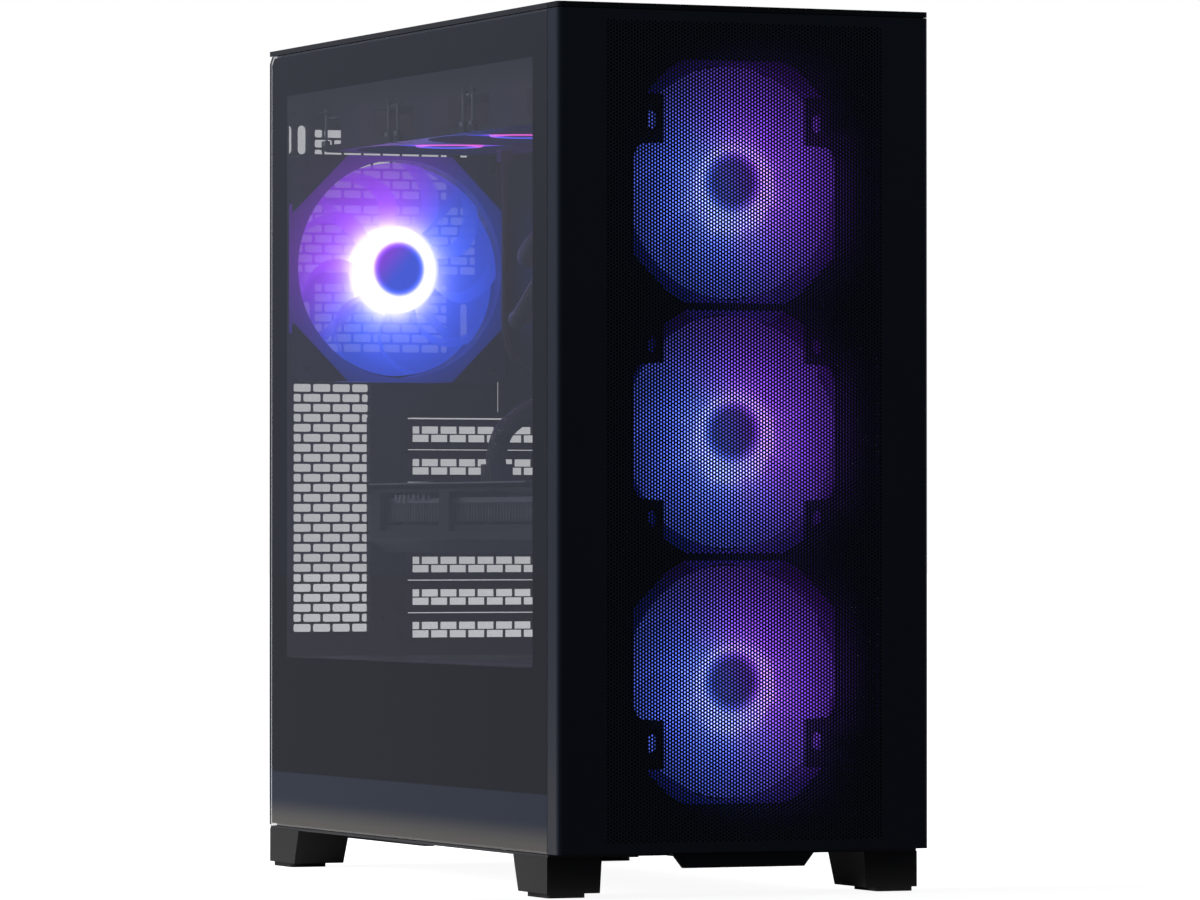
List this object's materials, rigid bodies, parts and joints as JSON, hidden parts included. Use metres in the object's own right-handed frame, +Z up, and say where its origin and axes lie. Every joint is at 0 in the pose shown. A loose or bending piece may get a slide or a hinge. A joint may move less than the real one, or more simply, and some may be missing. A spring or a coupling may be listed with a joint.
{
  "type": "desktop computer tower",
  "caption": "Upright desktop computer tower with a perforated steel front, a glass side, lit fans, a top radiator, a graphics card and a power supply on four feet.",
  "frame": {"origin": "on the ground under the centre of the box around the tower", "axes": "+Z up, -Y out of the perforated front, -X out of the glass side"},
  "size_m": [0.23, 0.462, 0.5035],
  "materials": {
    "case_steel": "fine matt black powder coat",
    "front_steel": "satin black, perforated",
    "side_glass": "tinted tempered glass",
    "border_black": "black border behind the glass",
    "black_plastic": "fine moulded grain",
    "foot_plastic": "moulded, fine grain",
    "foot_rubber": "dark rubber",
    "filter_mesh": "woven dust mesh in a frame",
    "fan_frame": "dark moulded frame",
    "fan_blades": "translucent, lit from the hub",
    "dark_blades": "moulded black blades",
    "circuit_board": "black solder mask",
    "dark_alloy": "dark anodised and brushed",
    "bare_fins": "bare thin fins",
    "light_bar": "milky light bar",
    "socket_plastic": "moulded sockets",
    "cable_sleeve": "woven cable sleeve",
    "tube_rubber": "sleeved coolant tube",
    "bracket_steel": "bare bracket steel",
    "screw_steel": "black screws",
    "power_case": "dark powder coat",
    "button_plastic": "satin buttons"
  },
  "bodies": {
    "case": {"base_plate": "case_steel", "rear_panel": "case_steel", "front_wall": "case_steel", "top_plate": "case_steel", "board_tray": "case_steel", "psu_shroud": "case_steel", "feet": "foot_plastic", "foot_pads": "foot_rubber", "port_module": "black_plastic", "psu_case": "power_case", "psu_grille": "screw_steel", "psu_inlet": "socket_plastic", "motherboard": "circuit_board", "io_cover": "dark_alloy", "io_shield": "case_steel", "board_heatsinks": "dark_alloy", "memory_modules": "dark_alloy", "memory_lights": "light_bar", "expansion_slots": "socket_plastic", "board_sockets": "socket_plastic", "pump_block": "black_plastic", "coolant_tubes": "tube_rubber", "radiator": "dark_alloy", "radiator_fans": "fan_frame", "card_shroud": "black_plastic", "card_heatsink": "bare_fins", "card_backplate": "dark_alloy", "card_bracket": "bracket_steel", "card_cable": "cable_sleeve", "board_cable": "cable_sleeve", "front_fans": "fan_frame", "rear_fan": "fan_frame", "slot_covers": "case_steel", "slot_clamp": "case_steel", "case_screws": "screw_steel"},
    "front_panel": {"front_shell": "front_steel", "front_mesh": "front_steel", "front_frame": "black_plastic", "pull_lip": "black_plastic"},
    "glass_side": {"glass_panel": "side_glass", "glass_frame": "border_black"},
    "right_side": {"right_panel": "case_steel", "thumbscrews": "screw_steel"},
    "top_dust_filter": {"top_filter": "filter_mesh"},
    "bottom_dust_filter": {"bottom_filter": "filter_mesh"},
    "power_key": {"power_button": "button_plastic"},
    "light_key": {"light_button": "button_plastic"},
    "psu_rocker": {"psu_switch": "button_plastic"},
    "psu_blades": {"psu_rotor": "dark_blades"},
    "front_blades_1": {"front_rotor_1": "fan_blades"},
    "radiator_blades_1": {"radiator_rotor_1": "fan_blades"},
    "card_blades_1": {"card_rotor_1": "dark_blades"},
    "front_blades_2": {"front_rotor_2": "fan_blades"},
    "radiator_blades_2": {"radiator_rotor_2": "fan_blades"},
    "card_blades_2": {"card_rotor_2": "dark_blades"},
    "front_blades_3": {"front_rotor_3": "fan_blades"},
    "radiator_blades_3": {"radiator_rotor_3": "fan_blades"},
    "card_blades_3": {"card_rotor_3": "dark_blades"},
    "rear_blades": {"rear_rotor": "fan_blades"}
  },
  "joints": [
    {"name": "front_panel_pull", "type": "slide", "parent": "case", "child": "front_panel", "axis": [0, -1, 0], "range_m": [0, 0.08]},
    {"name": "glass_side_pull", "type": "slide", "parent": "case", "child": "glass_side", "axis": [-1, 0, 0], "range_m": [0, 0.1]},
    {"name": "right_side_slide", "type": "slide", "parent": "case", "child": "right_side", "axis": [0, 1, 0], "range_m": [0, 0.46]},
    {"name": "top_filter_lift", "type": "slide", "parent": "case", "child": "top_dust_filter", "axis": [0, 0, 1], "range_m": [0, 0.05]},
    {"name": "bottom_filter_pull", "type": "slide", "parent": "case", "child": "bottom_dust_filter", "axis": [0, 1, 0], "range_m": [0, 0.16]},
    {"name": "power_press", "type": "slide", "parent": "case", "child": "power_key", "axis": [0, 0, -1], "range_m": [0, 0.001], "stiffness_N_per_m": 500, "springref_m": -0.001},
    {"name": "light_press", "type": "slide", "parent": "case", "child": "light_key", "axis": [0, 0, -1], "range_m": [0, 0.001], "stiffness_N_per_m": 400, "springref_m": -0.001},
    {"name": "psu_switch_rock", "type": "hinge", "parent": "case", "child": "psu_rocker", "pos_m": [0.054, 0.221, 0.084], "axis": [1, 0, 0], "range_deg": [-16, 0]},
    {"name": "psu_fan_spin", "type": "hinge", "parent": "case", "child": "psu_blades", "pos_m": [0, 0.154, 0.045], "axis": [0, 0, 1], "continuous": true},
    {"name": "rear_fan_spin", "type": "hinge", "parent": "case", "child": "rear_blades", "pos_m": [-0.038, 0.209, 0.369], "axis": [0, 1, 0], "continuous": true},
    {"name": "front_fan_1_spin", "type": "hinge", "parent": "case", "child": "front_blades_1", "pos_m": [0.0025, -0.198, 0.405], "axis": [0, 1, 0], "continuous": true},
    {"name": "front_fan_2_spin", "type": "hinge", "parent": "case", "child": "front_blades_2", "pos_m": [0.0025, -0.198, 0.2628], "axis": [0, 1, 0], "continuous": true},
    {"name": "front_fan_3_spin", "type": "hinge", "parent": "case", "child": "front_blades_3", "pos_m": [0.0025, -0.198, 0.1206], "axis": [0, 1, 0], "continuous": true},
    {"name": "radiator_fan_1_spin", "type": "hinge", "parent": "case", "child": "radiator_blades_1", "pos_m": [-0.03, -0.1025, 0.452], "axis": [0, 0, 1], "continuous": true},
    {"name": "radiator_fan_2_spin", "type": "hinge", "parent": "case", "child": "radiator_blades_2", "pos_m": [-0.03, 0.0175, 0.452], "axis": [0, 0, 1], "continuous": true},
    {"name": "radiator_fan_3_spin", "type": "hinge", "parent": "case", "child": "radiator_blades_3", "pos_m": [-0.03, 0.1375, 0.452], "axis": [0, 0, 1], "continuous": true},
    {"name": "card_fan_1_spin", "type": "hinge", "parent": "case", "child": "card_blades_1", "pos_m": [0.0095, -0.026, 0.203], "axis": [0, 0, 1], "continuous": true},
    {"name": "card_fan_2_spin", "type": "hinge", "parent": "case", "child": "card_blades_2", "pos_m": [0.0095, 0.07, 0.203], "axis": [0, 0, 1], "continuous": true},
    {"name": "card_fan_3_spin", "type": "hinge", "parent": "case", "child": "card_blades_3", "pos_m": [0.0095, 0.166, 0.203], "axis": [0, 0, 1], "continuous": true}
  ]
}
